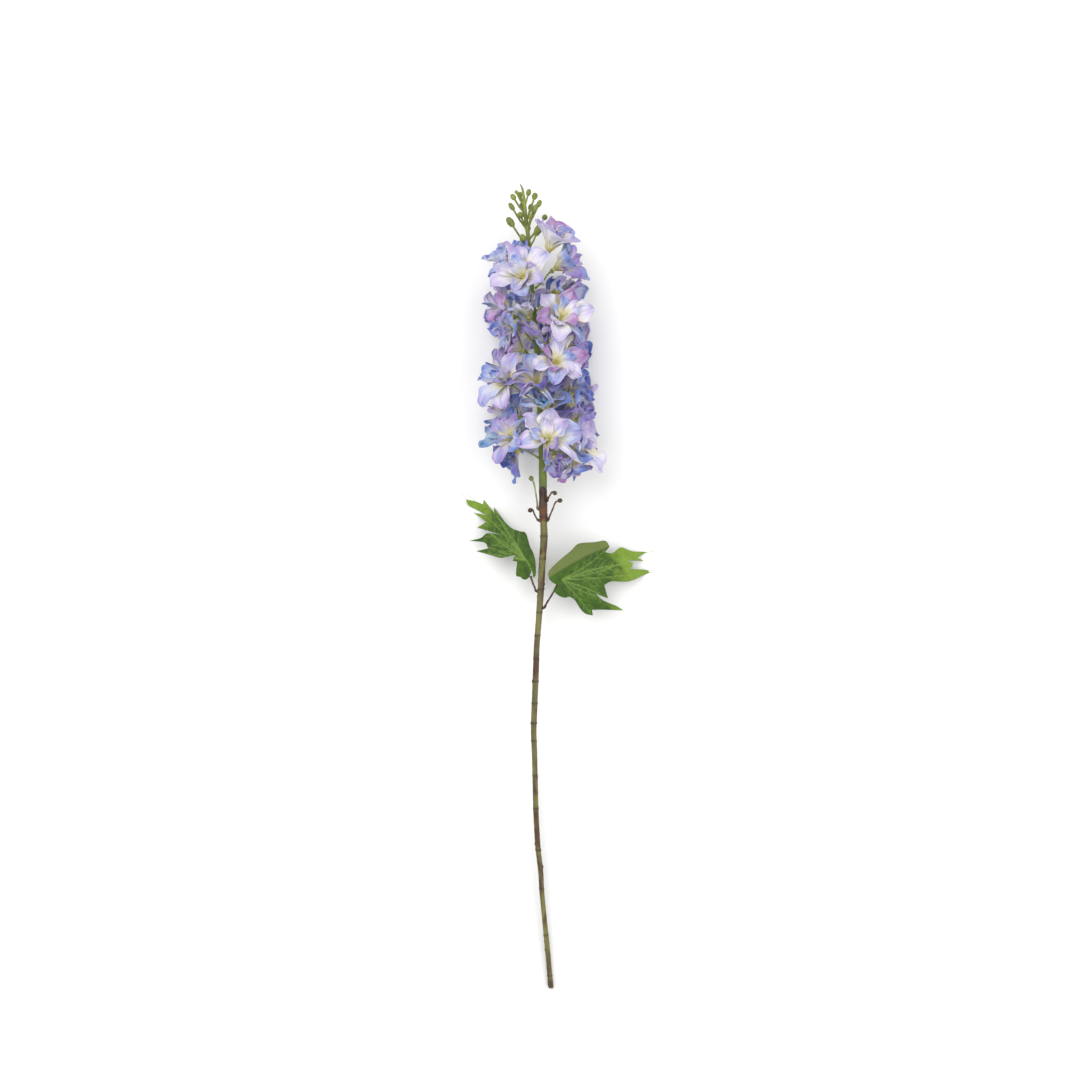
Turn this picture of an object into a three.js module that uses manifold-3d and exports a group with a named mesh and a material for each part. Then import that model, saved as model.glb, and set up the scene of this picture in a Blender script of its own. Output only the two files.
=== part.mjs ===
// A cut delphinium flower spike, lying on a flat surface. Millimetres, +Z up.
// The stem runs along +Y from its cut foot to the budded tip, and rests on its foot, its leaves and the
// lowest petals. Every floret, leaf, bud stalk and length of stem is a solid of its own.
import * as THREE from 'three';
import { mergeVertices } from 'three/addons/utils/BufferGeometryUtils.js';
import Module from 'manifold-3d';

const wasm = await Module();
wasm.setup();

// ---------------------------------------------------------------- driving dimensions

const STEM_SIDES = 10;
const FOOT_HEIGHT = 2.9; // centre line of the cut foot above the surface
const SPIKE_Y = 570; // where the flowers begin
const SPIKE_HEIGHT = 41; // centre line there, held up by the lowest petals
const TIP_Y = 850;
const TIP_HEIGHT = 50;
const COLLAR_START_Y = 499;
const COLLAR_END_Y = 533;
const AXIS_END_Y = 781;
const JOINT_GAP = 0.4; // between pieces that meet
const FABRIC = 1.2; // thickness of a petal's solid
const PETALS = 5;
const PEDICEL_RADIUS = 1.1;
const CALYX_RADIUS = 3.4;
const CALYX_LENGTH = 7;
const ROOT_GAP = 1; // between the axis and the slanting end of a pedicel
const PEDICEL_DROP = 15; // how far below its flower a pedicel leaves the axis
const LEAF_THICKNESS = 1.1;

// Centre line of the stem seen from above: [y, x, radius].
const STEM_LINE = [
  [0, 10.5, 2.6], [37, 7.4, 2.6], [75, 3.7, 2.6], [100, 1, 2.7], [125, 0, 2.8], [150, -3.2, 2.8],
  [175, -4.7, 2.8], [200, -5.8, 2.9], [226, -6.3, 2.9], [251, -6.8, 3], [276, -7.9, 3], [314, -6.3, 3.1],
  [339, -5.3, 3.2], [364, -4.7, 3.2], [390, -2.6, 3.3], [427, 0, 3.4], [453, 1, 3.5], [478, 3.7, 3.7],
  [503, 2.6, 4.4], [520, 2.1, 4.3], [533, 2.1, 4.2], [551, 2, 3.9], [567, 1.5, 3.8], [640, -2, 3.2],
  [709, -6.3, 2.6], [782, -12.6, 1.9],
];
// Ring joints along the lower stem, and how far each stands proud.
const RING_JOINTS = [
  [13.5, 0.35], [57, 0.3], [107, 0.35], [148.5, 0.5], [193, 0.4], [228, 0.35], [265, 0.3], [284, 0.6],
  [305, 0.35], [328.5, 0.4], [352, 0.3], [377, 0.35], [401.5, 0.3], [426, 0.4], [458, 0.3], [482, 0.3],
];
// Florets: [x, y, z of the heart, the way it faces (right, tipward, up), petal length, cup in degrees].
const FLORETS = [
  [6, 776, 60, [0.35, 0.85, 0.4], 33, 54],
  [-17, 749, 73, [-0.25, 0.35, 0.88], 34, 28],
  [-28, 764, 57, [-0.55, 0.7, 0.45], 29, 34],
  [13, 760, 56, [0.75, 0.5, 0.4], 30, 38],
  [16, 738, 48, [0.92, 0.1, 0.35], 28, 40],
  [-29, 711, 56, [-0.85, 0.1, 0.5], 28, 36],
  [-12, 709, 62, [-0.1, 0.9, 0.4], 26, 48],
  [18, 707, 70, [0.38, 0.35, 0.84], 33, 28],
  [-25, 699, 58, [-0.85, -0.15, 0.45], 27, 42],
  [-18, 676, 50, [-0.75, 0.5, 0.3], 28, 40],
  [6, 682, 60, [0, 0.75, 0.6], 28, 42],
  [27, 678, 46, [0.93, 0.15, 0.25], 28, 38],
  [14, 661, 71, [0.32, 0.4, 0.84], 33, 28],
  [-31, 641, 66, [-0.5, 0.5, 0.68], 33, 28],
  [-3, 639, 68, [-0.1, 0.4, 0.9], 28, 34],
  [27, 634, 50, [0.9, 0.15, 0.4], 29, 38],
  [6, 611, 58, [0, 0.85, 0.5], 29, 42],
  [7, 580, 74, [0.05, 0.42, 0.9], 35, 28],
  [34, 603, 56, [0.7, 0.6, 0.4], 29, 36],
  [-28, 582, 60, [-0.65, 0.45, 0.6], 32, 32],
  [-23, 572, 46, [-0.65, -0.6, 0.4], 29, 38],
  [32, 573, 60, [0.76, 0.25, 0.6], 34, 30],
  [30, 563, 44, [0.45, -0.8, 0.2], 29, 46],
  [14, 566, 54, [0.15, -0.8, 0.55], 25, 44],
  [-14, 758, 21, [-0.3, 0.3, -0.9], 28, 44],
  [10, 733, 17, [0.4, 0, -0.9], 29, 44],
  [-32, 722, 22, [-0.75, 0, -0.65], 28, 40],
  [-10, 702, 14, [-0.1, 0, -1], 29, 42],
  [24, 690, 19, [0.65, 0, -0.75], 29, 40],
  [-28, 655, 18, [-0.65, 0, -0.75], 29, 40],
  [4, 660, 13, [0.1, 0, -1], 29, 40],
  [28, 628, 17, [0.6, 0.1, -0.8], 29, 40],
  [-24, 607, 17, [-0.6, 0, -0.8], 29, 40],
  [6, 592, 12, [0.1, -0.1, -1], 29, 38],
];
// Centre line of the tip above the flowers: [y, x, radius].
const TIP_LINE = [
  [781, -12.1, 2.1], [793, -13.1, 1.6], [803, -14.2, 2], [814, -15.8, 1.6], [825, -17, 1.8],
  [832, -17.5, 1.4], [840, -18.4, 1.1], [846, -19.4, 0.8], [850.5, -21.5, 0.3],
];
// Tip buds: [x, y, height above the tip's line, radius, half length], then where the stalk leaves the line.
const BUDS = [
  [-25.7, 842, 3, 1.7, 2, 828], [-29, 836.5, 6, 2.6, 3.6, 820], [-30.8, 827.5, -2, 2.4, 4.6, 803],
  [-32, 810.5, 5, 3.5, 6, 784], [-18.6, 793, 8, 3.5, 5.2, 783], [-6.5, 838, 1, 2.9, 3.7, 812],
  [-2, 831, -5, 2.4, 4.3, 806], [-7, 823.5, 7, 2.6, 5.3, 803], [4, 816.5, -3, 2.7, 3, 792],
  [-3, 802, 7, 3.8, 6.9, 784], [-13, 841.5, 4, 2.5, 3.7, 828], [-22, 840.5, -4, 2.5, 2.8, 826],
  [-21.5, 817.5, 7, 3.2, 3.4, 806], [-10.5, 816, 6, 2.3, 3.7, 806], [-11, 828, -8, 2.2, 3.6, 812],
  [-20, 829, -9, 2.4, 4, 810], [-14, 806, -10, 3, 5, 788],
];
// Short bud stalks round the collar: [name, route points, stalk radius, end bud radius].
const SIDE_STALKS = [
  ['left_upper_bud_stalk', [[-3.3, 511, 38], [-4.7, 522, 42], [-8.5, 540, 47], [-13, 545, 48]], 0.9, 2.5],
  ['left_lower_bud_stalk', [[-3.2, 499, 37], [-6, 503, 40], [-9.5, 510, 42], [-13.8, 506, 42]], 0.9, 2.4],
  ['right_curled_stalk', [[6.6, 519, 41], [9, 524, 46], [12.5, 528.5, 48], [17.5, 523, 46]], 0.9, 2.2],
  ['right_lower_bud_stalk', [[7.4, 499, 38], [11, 507, 41], [17, 519, 43], [25, 518, 42]], 0.9, 2.4],
];
// Leaf outlines, [x, y] round the edge from the petiole.
const LEFT_LEAF = [
  [-8, 437], [-9.5, 446], [-13, 438], [-18, 436], [-22, 439], [-26, 440], [-26, 447], [-25, 455],
  [-30, 456], [-27, 462], [-36, 460], [-43, 459], [-54, 462], [-69, 466], [-56, 469], [-60, 475],
  [-77, 477], [-64, 480], [-57, 485], [-44, 484], [-68, 491], [-58, 497], [-72, 507], [-57, 504],
  [-76, 514], [-80, 521], [-70, 519], [-62, 516], [-61, 521], [-50, 507], [-50, 513], [-38, 497],
  [-30, 490], [-22, 487], [-16, 485], [-11.5, 471], [-8, 464], [-5.8, 455], [-5.4, 442],
];
const RIGHT_LEAF = [
  [18, 430], [13, 424], [19, 419], [25, 417], [30, 418], [36, 414], [41, 406], [47, 400], [55, 398],
  [54, 404], [67, 404], [88, 403], [80, 408], [66, 414], [58, 421], [71, 416], [67, 430], [75, 434],
  [94, 434], [116, 443], [112, 446], [95, 447], [98, 453], [92, 456], [110, 455.5], [103, 459],
  [113, 465], [97, 466], [85, 470], [76, 464], [68, 465], [73, 471], [68, 477], [56, 475.5],
  [40, 474], [31, 466], [20, 457], [9, 446], [8, 439], [11, 434],
];
// Each leaf: where its veins meet, the height there, and how far out it comes down to the surface.
const LEAVES = {
  left: { outline: LEFT_LEAF, heart: [-15, 456], height: 35, reach: 72 },
  right: { outline: RIGHT_LEAF, heart: [22, 436], height: 37, reach: 92 },
};
// Leaf stalks: points from the stem to the leaf.
const PETIOLES = {
  left: [[-5.4, 424.5, 31], [-6.6, 428, 30.9], [-8.3, 431.5, 30.3], [-9.8, 436, 29.8]],
  right: [[3.9, 407, 30], [6.5, 412, 32], [11.5, 420, 34], [15.5, 427.5, 34.6]],
};

// ---------------------------------------------------------------- helpers

const vec = (x, y, z) => new THREE.Vector3(x, y, z);
const UP = vec(0, 0, 1);

// A repeatable number from 0 to 1 for a whole-number seed.
function vary(seed) {
  const value = Math.sin(seed * 12.9898 + 4.137) * 43758.5453;
  return value - Math.floor(value);
}

// Reads a table of [key, ...values] rows at a key, in straight steps between rows.
function readLine(table, key, column) {
  let row = 0;
  while (row < table.length - 2 && key > table[row + 1][0]) {
    row += 1;
  }
  const [from, to] = [table[row], table[row + 1]];
  const share = THREE.MathUtils.clamp((key - from[0]) / (to[0] - from[0]), 0, 1);
  return THREE.MathUtils.lerp(from[column], to[column], share);
}

// Centre line height: straight from the foot up to the spike, then a gentler rise to the tip.
function lineHeight(y) {
  if (y < SPIKE_Y) {
    return THREE.MathUtils.lerp(FOOT_HEIGHT, SPIKE_HEIGHT, y / SPIKE_Y);
  }
  return THREE.MathUtils.lerp(SPIKE_HEIGHT, TIP_HEIGHT, (y - SPIKE_Y) / (TIP_Y - SPIKE_Y));
}

function linePoint(y) {
  return vec(readLine(STEM_LINE, y, 1), y, lineHeight(y));
}

// A closed solid from points and triangles, turned right side out.
function closedSolid(points, triangles) {
  let volume = 0;
  for (const [a, b, c] of triangles) {
    volume += points[a].dot(vec(0, 0, 0).crossVectors(points[b], points[c]));
  }
  const turned = volume < 0 ? triangles.map(([a, b, c]) => [a, c, b]) : triangles;
  const geometry = new THREE.BufferGeometry();
  const places = points.flatMap((point) => point.toArray());
  geometry.setAttribute('position', new THREE.Float32BufferAttribute(places, 3));
  geometry.setIndex(turned.flat());
  return geometry;
}

// Skins a row of equal rings and closes both ends with fans.
function loft(rings) {
  const count = rings[0].length;
  const points = rings.flat();
  const triangles = [];
  for (let ring = 0; ring < rings.length - 1; ring += 1) {
    for (let side = 0; side < count; side += 1) {
      const next = (side + 1) % count;
      const [a, b] = [ring * count + side, ring * count + next];
      triangles.push([a, b, b + count], [a, b + count, a + count]);
    }
  }
  for (const ring of [0, rings.length - 1]) {
    const middle = rings[ring].reduce((sum, p) => sum.add(p), vec(0, 0, 0)).divideScalar(count);
    const hub = points.push(middle) - 1;
    for (let side = 0; side < count; side += 1) {
      const [a, b] = [ring * count + side, ring * count + ((side + 1) % count)];
      triangles.push(ring === 0 ? [hub, b, a] : [hub, a, b]);
    }
  }
  return closedSolid(points, triangles);
}

function ringAround(centre, normal, radius, sides, start = 0) {
  const helper = Math.abs(normal.z) > 0.9 ? vec(1, 0, 0) : UP;
  const across = vec(0, 0, 0).crossVectors(helper, normal).normalize();
  const along = vec(0, 0, 0).crossVectors(normal, across);
  return Array.from({ length: sides }, (_, side) => {
    const angle = start + (side / sides) * Math.PI * 2;
    return centre
      .clone()
      .addScaledVector(across, Math.cos(angle) * radius)
      .addScaledVector(along, Math.sin(angle) * radius);
  });
}

// A round rod through points, with a radius at each.
function rod(points, radii, sides) {
  const rings = points.map((point, index) => {
    const before = points[Math.max(index - 1, 0)];
    const after = points[Math.min(index + 1, points.length - 1)];
    const heading = after.clone().sub(before).normalize();
    return ringAround(point, heading, radii[index], sides);
  });
  return loft(alignRings(rings));
}

// Starts each ring nearest to the start of the ring before, which keeps a skin untwisted.
function alignRings(rings) {
  for (let index = 1; index < rings.length; index += 1) {
    const start = rings[index - 1][0];
    const distances = rings[index].map((p) => p.distanceTo(start));
    const nearest = distances.indexOf(Math.min(...distances));
    rings[index] = [...rings[index].slice(nearest), ...rings[index].slice(0, nearest)];
  }
  return rings;
}

function toManifold(geometry) {
  const plain = geometry.clone();
  plain.deleteAttribute('normal');
  plain.deleteAttribute('uv');
  const merged = mergeVertices(plain, 1e-4);
  const mesh = new wasm.Mesh({
    numProp: 3,
    vertProperties: new Float32Array(merged.attributes.position.array),
    triVerts: new Uint32Array(merged.index.array),
  });
  return new wasm.Manifold(mesh);
}

function toGeometry(solid) {
  const mesh = solid.getMesh();
  const geometry = new THREE.BufferGeometry();
  geometry.setAttribute('position', new THREE.Float32BufferAttribute(mesh.vertProperties, 3));
  geometry.setIndex(Array.from(mesh.triVerts));
  return geometry;
}

// The separate lump of a solid that reaches nearest to a point.
function lumpNearest(solid, point) {
  let best = null;
  let bestDistance = Infinity;
  for (const lump of solid.decompose()) {
    const { vertProperties } = lump.getMesh();
    for (let index = 0; index < vertProperties.length; index += 3) {
      const distance = point.distanceTo(vec(...vertProperties.slice(index, index + 3)));
      if (distance < bestDistance) {
        [best, bestDistance] = [lump, distance];
      }
    }
  }
  return best;
}

// ---------------------------------------------------------------- materials

function finish(color, roughness, metalness = 0) {
  return new THREE.MeshStandardMaterial({ color, roughness, metalness });
}

const MATERIALS = {
  stem: finish(0x66602f, 0.55),
  collar: finish(0x54301a, 0.5),
  axis: finish(0x60702c, 0.5),
  bud: finish(0x8a9440, 0.5),
  petal: finish(0xb3a2d6, 0.85),
  leaf: finish(0x4c6a25, 0.75),
};

const spike = new THREE.Group();

function addPiece(name, geometry, material) {
  const mesh = new THREE.Mesh(geometry, MATERIALS[material]);
  mesh.name = name;
  spike.add(mesh);
}

// ---------------------------------------------------------------- stem, collar and spike axis

// Rings that lie in planes of constant y, so the stem's line and radius can be read from them.
function stemLength(stations) {
  const rings = stations.map(([y, radius]) => {
    const centre = linePoint(y);
    return ringAround(centre, vec(0, 1, 0), radius, STEM_SIDES);
  });
  return loft(rings);
}

function stemRadius(y) {
  return readLine(STEM_LINE, y, 2);
}

function lowerStem() {
  const end = COLLAR_START_Y - JOINT_GAP;
  const stations = [[0, 2.3], [2, 2.85], [8, 2.85]];
  for (const [y, proud] of RING_JOINTS) {
    stations.push([y - 1.6, stemRadius(y)], [y, stemRadius(y) + proud], [y + 1.6, stemRadius(y)]);
  }
  stations.push([end, 3.7]);
  for (const [y, , radius] of STEM_LINE) {
    if (y > 8 && y < end && stations.every(([other]) => Math.abs(other - y) > 6)) {
      stations.push([y, radius]);
    }
  }
  stations.sort((a, b) => a[0] - b[0]);
  return stemLength(stations);
}

function collar() {
  const end = COLLAR_END_Y - JOINT_GAP;
  return stemLength([
    [COLLAR_START_Y, 3.9], [501, 4.5], [508, 4.3], [515, 4.6], [522, 4.2], [529, 4.5], [end, 4.1],
  ]);
}

function spikeAxis() {
  const stations = [];
  for (let y = COLLAR_END_Y; y < AXIS_END_Y; y += 31) {
    stations.push([y, stemRadius(y)]);
  }
  stations.push([AXIS_END_Y - JOINT_GAP, 1.9]);
  return stemLength(stations);
}

addPiece('stem', lowerStem(), 'stem');
addPiece('stem_collar', collar(), 'collar');
addPiece('spike_axis', spikeAxis(), 'axis');

// ---------------------------------------------------------------- florets

// The next point of a petal: one step on, laid along the surface once it would go below it.
function layDown(from, to, outward, low) {
  if (to.z >= low) {
    return to;
  }
  const length = from.distanceTo(to);
  const drop = Math.max(from.z - low, 0);
  const run = Math.sqrt(Math.max(length * length - drop * drop, 0));
  const push = vec(outward.x, outward.y, 0).multiplyScalar(0.1 * length);
  const flat = vec(to.x - from.x, to.y - from.y, 0).add(push);
  if (flat.length() < 1e-3) {
    flat.set(1, 0, 0);
  }
  return vec(from.x, from.y, low).addScaledVector(flat.normalize(), run);
}

// A whorl of petals as one thin star, cupped round its heart.
function whorl(floret, grow) {
  const { heart, facing, length, cup, seed } = floret;
  const samples = PETALS * 3;
  const half = FABRIC / 2 + grow;
  const [across, along] = ringAround(heart, facing, 1, 4).map((point) => point.sub(heart));
  const roll = vary(seed) * Math.PI * 2;
  // A whorl that is pressed flat bends in more places.
  const steps = facing.z < -0.4 ? [0.35, 0.65, 1] : [0.5, 1];
  const rings = steps.map(() => []);
  for (let sample = 0; sample < samples; sample += 1) {
    const petal = Math.floor(sample / 3);
    const part = sample % 3;
    const spread = [-0.5, -0.17, 0.17][part];
    const angle = roll + ((petal + 0.5 + spread) / PETALS) * Math.PI * 2;
    const own = part === 0 ? 0 : vary(seed * 7 + petal) - 0.5;
    const reach = (length + grow) * (part === 0 ? 0.62 : 0.97 + own * 0.08);
    const lift = THREE.MathUtils.degToRad(cup + own * 16);
    const outward = across.clone().multiplyScalar(Math.cos(angle)).addScaledVector(along, Math.sin(angle));
    let from = heart.clone();
    let done = 0;
    steps.forEach((share, ring) => {
      const bend = lift * (1.25 - 0.5 * share);
      const stride = outward.clone().multiplyScalar(Math.cos(bend)).addScaledVector(facing, Math.sin(bend));
      const to = from.clone().addScaledVector(stride, reach * (share - done));
      from = layDown(from, to, facing, FABRIC / 2);
      done = share;
      rings[ring].push(from);
    });
  }
  const points = [];
  const triangles = [];
  const hub = heart.clone();
  for (const side of [1, -1]) {
    points.push(hub.clone().addScaledVector(facing, side * half));
    for (const ring of rings) {
      for (const point of ring) {
        const rested = point.z < FABRIC * 0.75;
        const normal = rested ? vec(0, 0, facing.z < -0.05 ? -1 : 1) : facing;
        points.push(point.clone().addScaledVector(normal, side * half));
      }
    }
  }
  const sheet = 1 + samples * steps.length;
  for (let sample = 0; sample < samples; sample += 1) {
    const next = (sample + 1) % samples;
    for (const side of [0, 1]) {
      const base = side * sheet;
      const faces = [[base, base + 1 + sample, base + 1 + next]];
      for (let ring = 0; ring < steps.length - 1; ring += 1) {
        const [a, b] = [base + 1 + ring * samples + sample, base + 1 + ring * samples + next];
        faces.push([a, a + samples, b + samples], [a, b + samples, b]);
      }
      triangles.push(...(side === 0 ? faces : faces.map(([a, b, c]) => [a, c, b])));
    }
    const edge = 1 + (steps.length - 1) * samples;
    const [a, b] = [edge + sample, edge + next];
    triangles.push([a, a + sheet, b + sheet], [a, b + sheet, b]);
  }
  return closedSolid(points, triangles);
}

// The flower's own stalk, which widens into the calyx behind the petals.
function pedicel(floret, grow) {
  const { root, bend, base, facing } = floret;
  const middle = base.clone().addScaledVector(facing, CALYX_LENGTH / 2);
  const top = base.clone().addScaledVector(facing, CALYX_LENGTH);
  const radii = [PEDICEL_RADIUS, PEDICEL_RADIUS, PEDICEL_RADIUS * 1.3, CALYX_RADIUS * 0.8, CALYX_RADIUS];
  const headings = [bend.clone().sub(root), base.clone().sub(root), facing, facing, facing];
  const rings = [root, bend, base, middle, top].map((centre, index) => {
    return ringAround(centre, headings[index].clone().normalize(), radii[index] + grow, 6);
  });
  return loft(alignRings(rings));
}

function describeFloret([x, y, z, face, length, cup], index) {
  const heart = vec(x, y, z);
  const facing = vec(...face).normalize();
  const base = heart.clone().addScaledVector(facing, -CALYX_LENGTH);
  const drop = facing.y < -0.5 ? -PEDICEL_DROP * 0.2 : PEDICEL_DROP;
  const rootY = THREE.MathUtils.clamp(base.y - drop, COLLAR_END_Y + 8, AXIS_END_Y - 6);
  const axis = linePoint(rootY);
  const outward = base.clone().sub(axis).setY(0).normalize();
  const root = axis.clone().addScaledVector(outward, stemRadius(rootY) + ROOT_GAP);
  root.y += 0.25;
  const bend = root.clone().lerp(base, 0.5).addScaledVector(outward, 1.5);
  return { heart, facing, base, root, bend, length, cup, seed: index + 1 };
}

const florets = FLORETS.map(describeFloret);
const grownPedicels = florets.map((floret) => toManifold(pedicel(floret, 0.45)));
const stemParts = spike.children.map((mesh) => toManifold(mesh.geometry));
const grownAxis = toManifold(stemLength([[COLLAR_START_Y, 5.1], [SPIKE_Y, 4.6], [AXIS_END_Y, 2.8]]));

// Petals of the flowers nearest the viewer above are whole, and those below make room for them.
const order = florets.map((_, index) => index).sort((a, b) => florets[b].heart.z - florets[a].heart.z);
const placed = [];
for (const index of order) {
  const floret = florets[index];
  let petals = toManifold(whorl(floret, 0)).subtract(grownAxis);
  grownPedicels.forEach((other, at) => {
    if (at !== index) {
      petals = petals.subtract(other);
    }
  });
  for (const other of placed) {
    petals = petals.subtract(other);
  }
  const heart = lumpNearest(petals, floret.heart);
  const body = toManifold(pedicel(floret, 0)).add(heart).simplify(0.02);
  addPiece(`floret_${String(index + 1).padStart(2, '0')}`, toGeometry(body), 'petal');
  placed.push(toManifold(whorl(floret, 0.4)));
}

// ---------------------------------------------------------------- tip spray

function tipPoint(y) {
  return vec(readLine(TIP_LINE, y, 1), y, lineHeight(y));
}

function budBody([x, y, lift, radius, half, footY]) {
  const foot = tipPoint(footY);
  const centre = vec(x, y, lineHeight(y) + lift);
  const heading = centre.clone().sub(foot).normalize();
  const shape = new THREE.SphereGeometry(1, 6, 4).scale(radius, half, radius);
  shape.applyQuaternion(new THREE.Quaternion().setFromUnitVectors(vec(0, 1, 0), heading));
  shape.translate(...centre.toArray());
  const elbow = foot.clone().lerp(centre, 0.5).add(vec(0, -1.5, 0));
  const stalk = rod([foot, elbow, centre], [1, 0.7, 0.8], 5);
  return toManifold(shape).add(toManifold(stalk));
}

const tipPoints = TIP_LINE.map(([y]) => tipPoint(y));
const tipRadii = TIP_LINE.map(([, , radius]) => radius);
const tipRod = toManifold(rod(tipPoints, tipRadii, 6));
const spray = BUDS.reduce((body, bud) => body.add(budBody(bud)), tipRod);
let clearSpray = spray;
for (const other of [...placed, ...grownPedicels]) {
  clearSpray = clearSpray.subtract(other);
}
addPiece('tip_bud_spray', toGeometry(lumpNearest(clearSpray, tipPoint(840)).simplify(0.02)), 'bud');

// ---------------------------------------------------------------- side stalks

for (const [name, route, radius, budRadius] of SIDE_STALKS) {
  const points = new THREE.CatmullRomCurve3(route.map((point) => vec(...point))).getPoints(5);
  const stalk = toManifold(rod(points, points.map(() => radius), 6));
  const end = points[points.length - 1];
  const bud = new THREE.SphereGeometry(budRadius, 6, 4).translate(...end.toArray());
  addPiece(name, toGeometry(stalk.add(toManifold(bud)).simplify(0.02)), 'collar');
}

// ---------------------------------------------------------------- leaves

// A leaf arches away from its heart and its outer lobes lie on the surface.
function leafHeight(x, y, { heart, height, reach }) {
  const away = Math.min(Math.hypot(x - heart[0], y - heart[1]) / reach, 1);
  return Math.max(height * (1 - away * away), LEAF_THICKNESS / 2);
}

function leafBlade(leaf) {
  const outline = leaf.outline.map(([x, y]) => new THREE.Vector2(x, y));
  const faces = THREE.ShapeUtils.triangulateShape(outline, []);
  const points = [];
  for (const side of [1, -1]) {
    for (const { x, y } of outline) {
      points.push(vec(x, y, leafHeight(x, y, leaf) + (side * LEAF_THICKNESS) / 2));
    }
  }
  const count = outline.length;
  const triangles = [...faces, ...faces.map(([a, b, c]) => [a + count, c + count, b + count])];
  for (let at = 0; at < count; at += 1) {
    const next = (at + 1) % count;
    const inside = THREE.ShapeUtils.area(outline) > 0;
    const [a, b] = inside ? [at, next] : [next, at];
    triangles.push([a, a + count, b + count], [a, b + count, b]);
  }
  return closedSolid(points, triangles);
}

for (const [side, leaf] of Object.entries(LEAVES)) {
  addPiece(`leaf_${side}`, leafBlade(leaf), 'leaf');
  const route = PETIOLES[side].map((point) => vec(...point));
  const stalk = toManifold(rod(route, [1.1, 1, 1, 0.9], 6)).simplify(0.02);
  addPiece(`leaf_${side}_petiole`, toGeometry(stalk), 'collar');
}

// ---------------------------------------------------------------- origin

// The origin is under the middle of the whole piece, on the surface it lies on.
const bounds = new THREE.Box3().setFromObject(spike);
const middle = bounds.getCenter(vec(0, 0, 0));
spike.position.set(-middle.x, -middle.y, -bounds.min.z);

export default spike;
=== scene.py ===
"""A cut delphinium flower spike lying on a pale surface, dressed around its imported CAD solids.

Every piece takes its place from a CAD node: the florets from their pedicel rings and petals, the stem
from its rings, the leaves from their outlines. All lengths are metres unless a name says millimetres.
"""

import math

import bmesh
import bpy
import numpy as np
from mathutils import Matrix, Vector, geometry
from mathutils.bvhtree import BVHTree


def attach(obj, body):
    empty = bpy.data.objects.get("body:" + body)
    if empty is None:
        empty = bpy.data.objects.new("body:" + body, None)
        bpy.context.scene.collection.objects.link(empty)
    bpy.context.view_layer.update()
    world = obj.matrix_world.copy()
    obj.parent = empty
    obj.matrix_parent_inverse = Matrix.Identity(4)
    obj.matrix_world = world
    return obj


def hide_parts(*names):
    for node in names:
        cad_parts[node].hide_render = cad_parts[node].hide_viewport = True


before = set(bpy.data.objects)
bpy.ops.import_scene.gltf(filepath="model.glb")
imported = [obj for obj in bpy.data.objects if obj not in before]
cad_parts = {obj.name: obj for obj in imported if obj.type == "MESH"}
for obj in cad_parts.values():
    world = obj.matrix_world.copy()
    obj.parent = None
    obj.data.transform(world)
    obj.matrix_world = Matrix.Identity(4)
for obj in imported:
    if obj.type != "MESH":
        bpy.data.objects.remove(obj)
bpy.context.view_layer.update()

MM = 0.001
BODY = "root"
FLORET_COUNT = 34

# Facts of the CAD solids that their vertices are read with.
PEDICEL_RADIUS = 1.1 * MM
CALYX_FOOT_RADIUS = 1.43 * MM
CALYX_LENGTH = 7 * MM


# ------------------------------------------------------------------ small helpers


def smooth(low, high, value):
    share = np.clip((np.asarray(value, float) - low) / (high - low), 0, 1)
    return share * share * (3 - 2 * share)


def unit(vector):
    return vector / max(np.linalg.norm(vector), 1e-12)


def colour(text):
    """Linear RGB of a hex colour."""
    parts = [int(text[at : at + 2], 16) / 255 for at in (0, 2, 4)]
    return [p / 12.92 if p <= 0.04045 else ((p + 0.055) / 1.055) ** 2.4 for p in parts]


def points_of(node):
    """The separate vertices of a CAD node."""
    flat = np.array([v.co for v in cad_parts[node].data.vertices], float)
    return np.unique(np.round(flat, 6), axis=0)


def add_piece(name, points, faces, material, replaced=(), attributes=None):
    mesh = bpy.data.meshes.new(name)
    mesh.from_pydata(np.asarray(points).tolist(), [], faces)
    for key, values in (attributes or {}).items():
        values = np.asarray(values, np.float32)
        kind = {1: "FLOAT", 3: "FLOAT_VECTOR"}[1 if values.ndim == 1 else values.shape[1]]
        layer = mesh.attributes.new(key, kind, "POINT")
        layer.data.foreach_set("value" if kind == "FLOAT" else "vector", values.ravel())
    mesh.materials.append(material)
    mesh.polygons.foreach_set("use_smooth", [True] * len(mesh.polygons))
    mesh.update()
    piece = bpy.data.objects.new(name, mesh)
    bpy.context.scene.collection.objects.link(piece)
    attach(piece, BODY)
    if replaced:
        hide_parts(*replaced)
    return piece


def grid_normals(grid):
    along = np.gradient(grid, axis=0)
    across = np.gradient(grid, axis=1)
    normals = np.cross(along, across)
    return normals / np.maximum(np.linalg.norm(normals, axis=2, keepdims=True), 1e-12)


def grid_faces(rows, columns, start, turned):
    at = start + np.arange((rows - 1) * columns).reshape(rows - 1, columns)[:, :-1].ravel()
    quads = np.stack([at, at + 1, at + columns + 1, at + columns], axis=1)
    return quads[:, ::-1] if turned else quads


def thick_sheet(grid, thickness, start=0):
    """Closes a grid of points into a thin solid: its points, the top ones first, and its quads."""
    rows, columns = grid.shape[:2]
    shift = grid_normals(grid) * thickness / 2
    points = np.concatenate([(grid + shift).reshape(-1, 3), (grid - shift).reshape(-1, 3)])
    count = rows * columns
    top = grid_faces(rows, columns, start, True)
    bottom = grid_faces(rows, columns, start + count, False)
    index = np.arange(count).reshape(rows, columns)
    edge = np.concatenate([index[0, :-1], index[:-1, -1], index[-1, :0:-1], index[:0:-1, 0]])
    after = np.roll(edge, -1)
    rim = np.stack([edge, after, after + count, edge + count], axis=1) + start
    return points, np.concatenate([top, bottom, rim])


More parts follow.
